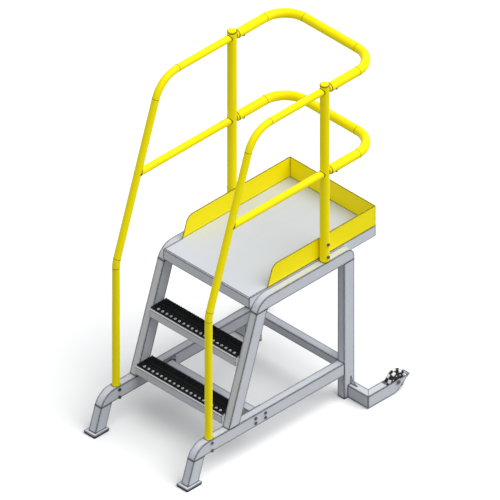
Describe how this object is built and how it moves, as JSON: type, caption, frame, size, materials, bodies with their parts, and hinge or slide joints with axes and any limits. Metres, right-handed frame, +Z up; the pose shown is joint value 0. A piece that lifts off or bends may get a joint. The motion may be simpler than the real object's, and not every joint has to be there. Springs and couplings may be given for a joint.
{
  "type": "mobile ladder stand",
  "caption": "Steel ladder stand with serrated steps, a railed deck with toe boards, bent hand rails, a rear guard and tip-and-roll wheels.",
  "frame": {"origin": "on the floor at the middle of the footprint, midway between the side frames", "axes": "+Z up, +Y the way a climber faces going up, +X to the climber's right"},
  "size_m": [0.846, 1.212, 1.662],
  "materials": {
    "frame_steel": "grey powder coat on welded steel tube",
    "deck_steel": "pale grey powder coat on folded sheet",
    "rail_yellow": "safety yellow powder coat on round tube and sheet",
    "tread_black": "black coated serrated steel tread",
    "foot_rubber": "black rubber",
    "black_plastic": "black moulded plug",
    "zinc_steel": "zinc plated",
    "roller_plastic": "off-white moulded roller",
    "hub_plastic": "black moulded wheel body"
  },
  "bodies": {
    "stand": {"base_rail_left": "frame_steel", "base_rail_right": "frame_steel", "top_rail_left": "frame_steel", "top_rail_right": "frame_steel", "stringer_left": "frame_steel", "stringer_right": "frame_steel", "rear_post_left": "frame_steel", "rear_post_right": "frame_steel", "front_leg_left": "frame_steel", "front_leg_right": "frame_steel", "foot_plate_left": "frame_steel", "foot_plate_right": "frame_steel", "foot_pad_left": "foot_rubber", "foot_pad_right": "foot_rubber", "post_plug_left": "black_plastic", "post_plug_right": "black_plastic", "front_cross_beam": "frame_steel", "rear_cross_beam": "frame_steel", "beam_bolts": "zinc_steel", "beam_nuts": "zinc_steel", "lower_step_frame": "frame_steel", "lower_tread": "tread_black", "upper_step_frame": "frame_steel", "upper_tread": "tread_black", "deck_pan": "deck_steel", "deck_stiffeners": "frame_steel", "toe_board_left": "rail_yellow", "toe_board_right": "rail_yellow", "toe_board_rear": "rail_yellow", "handrail_left": "rail_yellow", "handrail_right": "rail_yellow", "mid_rail_left": "rail_yellow", "mid_rail_right": "rail_yellow", "rail_post_left": "rail_yellow", "rail_post_right": "rail_yellow", "post_caps": "rail_yellow", "handrail_bolts": "zinc_steel", "handrail_nuts": "zinc_steel", "rail_post_bolts": "zinc_steel", "rail_post_nuts": "zinc_steel", "guard_spigots": "rail_yellow", "upper_guard": "rail_yellow", "lower_guard": "rail_yellow", "guard_screws": "zinc_steel", "wheel_arm_left": "frame_steel", "wheel_arm_right": "frame_steel", "arm_gussets": "frame_steel", "axle_left": "zinc_steel", "axle_right": "zinc_steel", "axle_nuts": "zinc_steel", "wheel_spacers": "zinc_steel"},
    "wheel_left": {"wheel_hub_left": "hub_plastic", "rollers_left": "roller_plastic", "roller_pins_left": "zinc_steel"},
    "wheel_right": {"wheel_hub_right": "hub_plastic", "rollers_right": "roller_plastic", "roller_pins_right": "zinc_steel"}
  },
  "joints": [
    {"name": "wheel_left_spin", "type": "hinge", "parent": "stand", "child": "wheel_left", "pos_m": [-0.397, 0.537, 0.053], "axis": [1, 0, 0], "continuous": true},
    {"name": "wheel_right_spin", "type": "hinge", "parent": "stand", "child": "wheel_right", "pos_m": [0.397, 0.537, 0.053], "axis": [1, 0, 0], "continuous": true}
  ]
}
